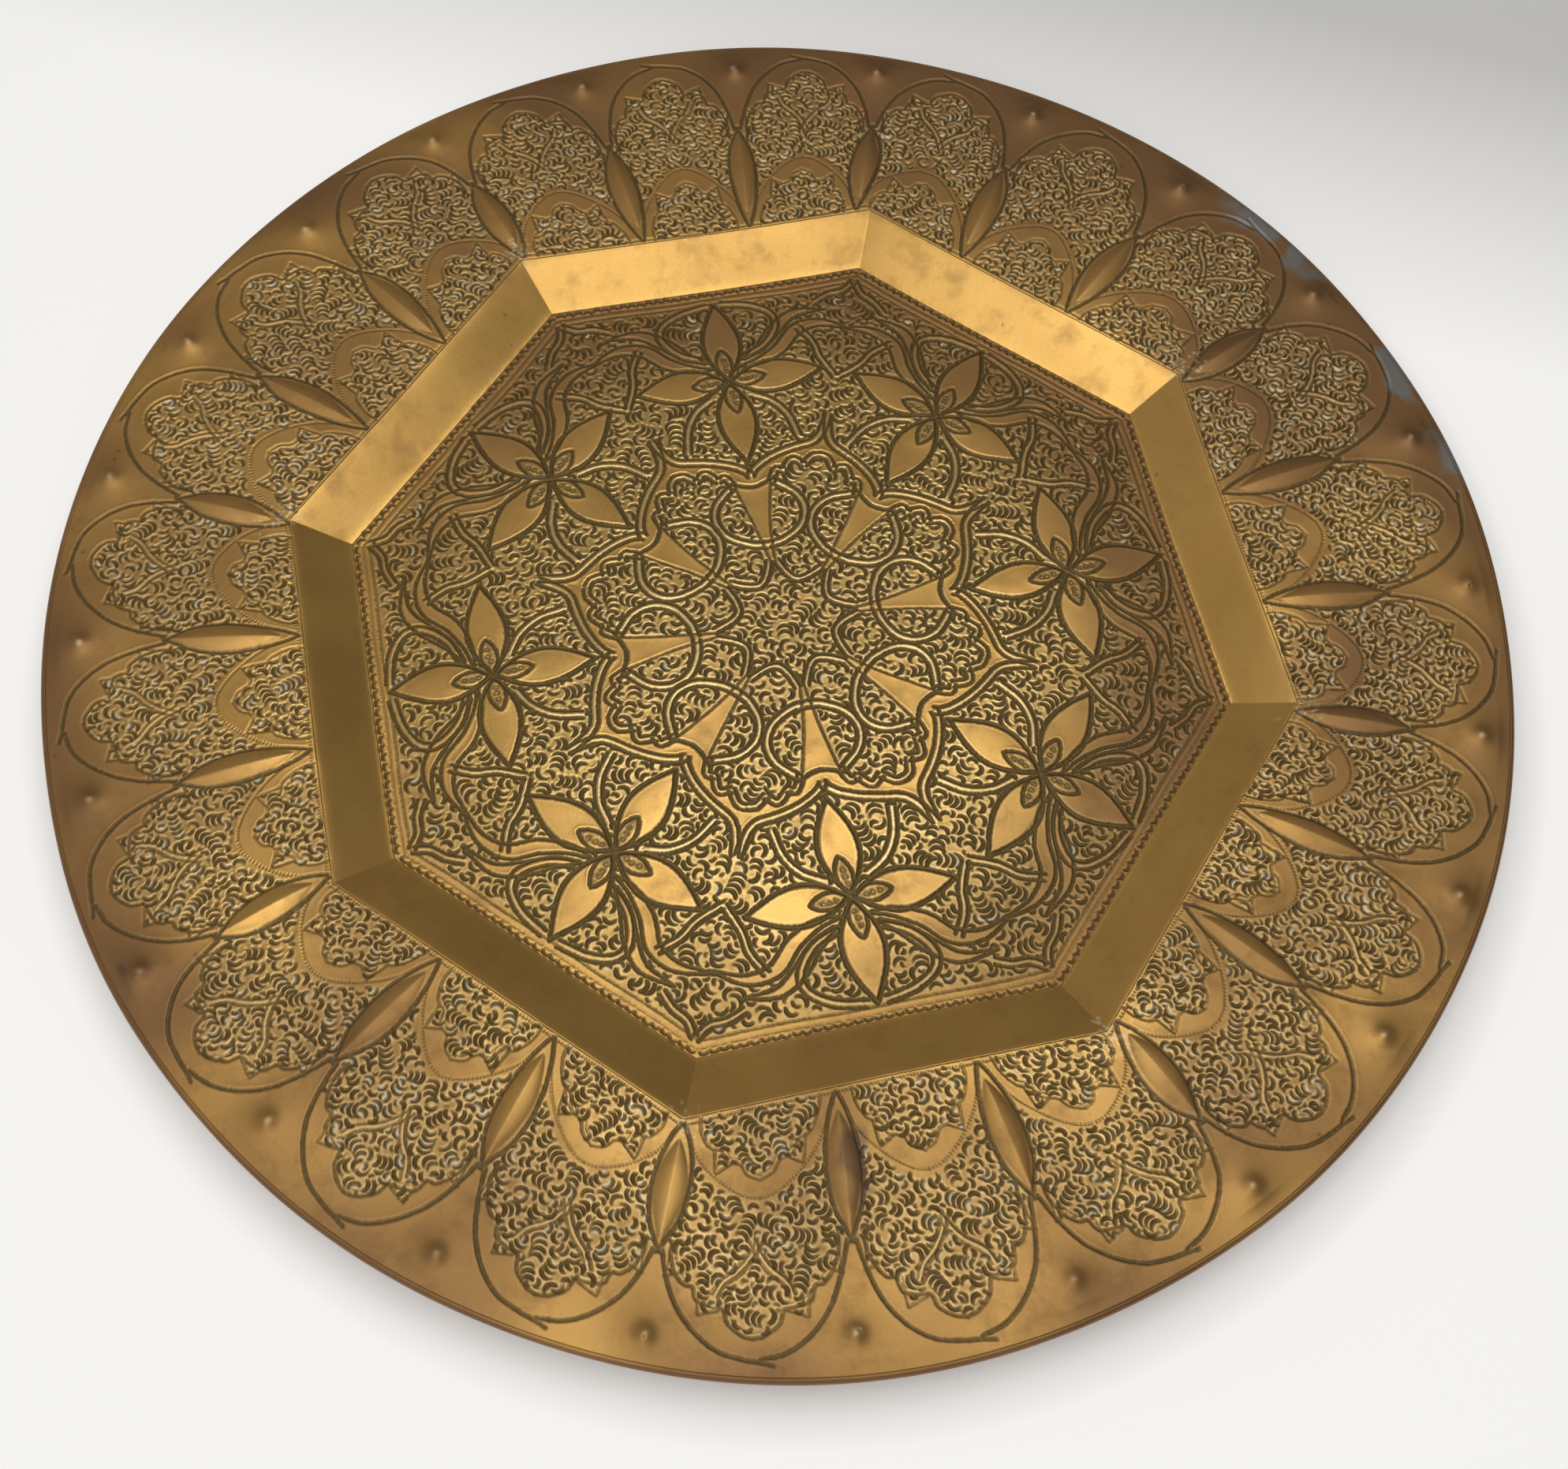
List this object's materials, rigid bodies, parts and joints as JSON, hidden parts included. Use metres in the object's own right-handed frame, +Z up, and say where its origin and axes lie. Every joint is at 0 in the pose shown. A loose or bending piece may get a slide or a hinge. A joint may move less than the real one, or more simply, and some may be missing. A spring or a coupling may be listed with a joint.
{
  "type": "chased metal tray",
  "caption": "Round copper-alloy serving tray with an octagonal well, chased and repousse ornament and a wired rolled edge.",
  "frame": {"origin": "centre of the underside of the well floor, on the surface the tray stands on", "axes": "+Z up out of the well; +X and +Y each through the middle of a flat side of the octagonal well"},
  "size_m": [0.6, 0.6, 0.0221],
  "materials": {
    "sheet": "hand-worked copper alloy, aged golden brown, dark patina in the chased lines",
    "wire": "dull black iron wire, hidden in the rolled edge"
  },
  "bodies": {
    "root": {"well_floor": "sheet", "well_wall": "sheet", "rim_flange": "sheet", "rolled_edge": "sheet", "edge_wire": "wire"}
  },
  "joints": []
}
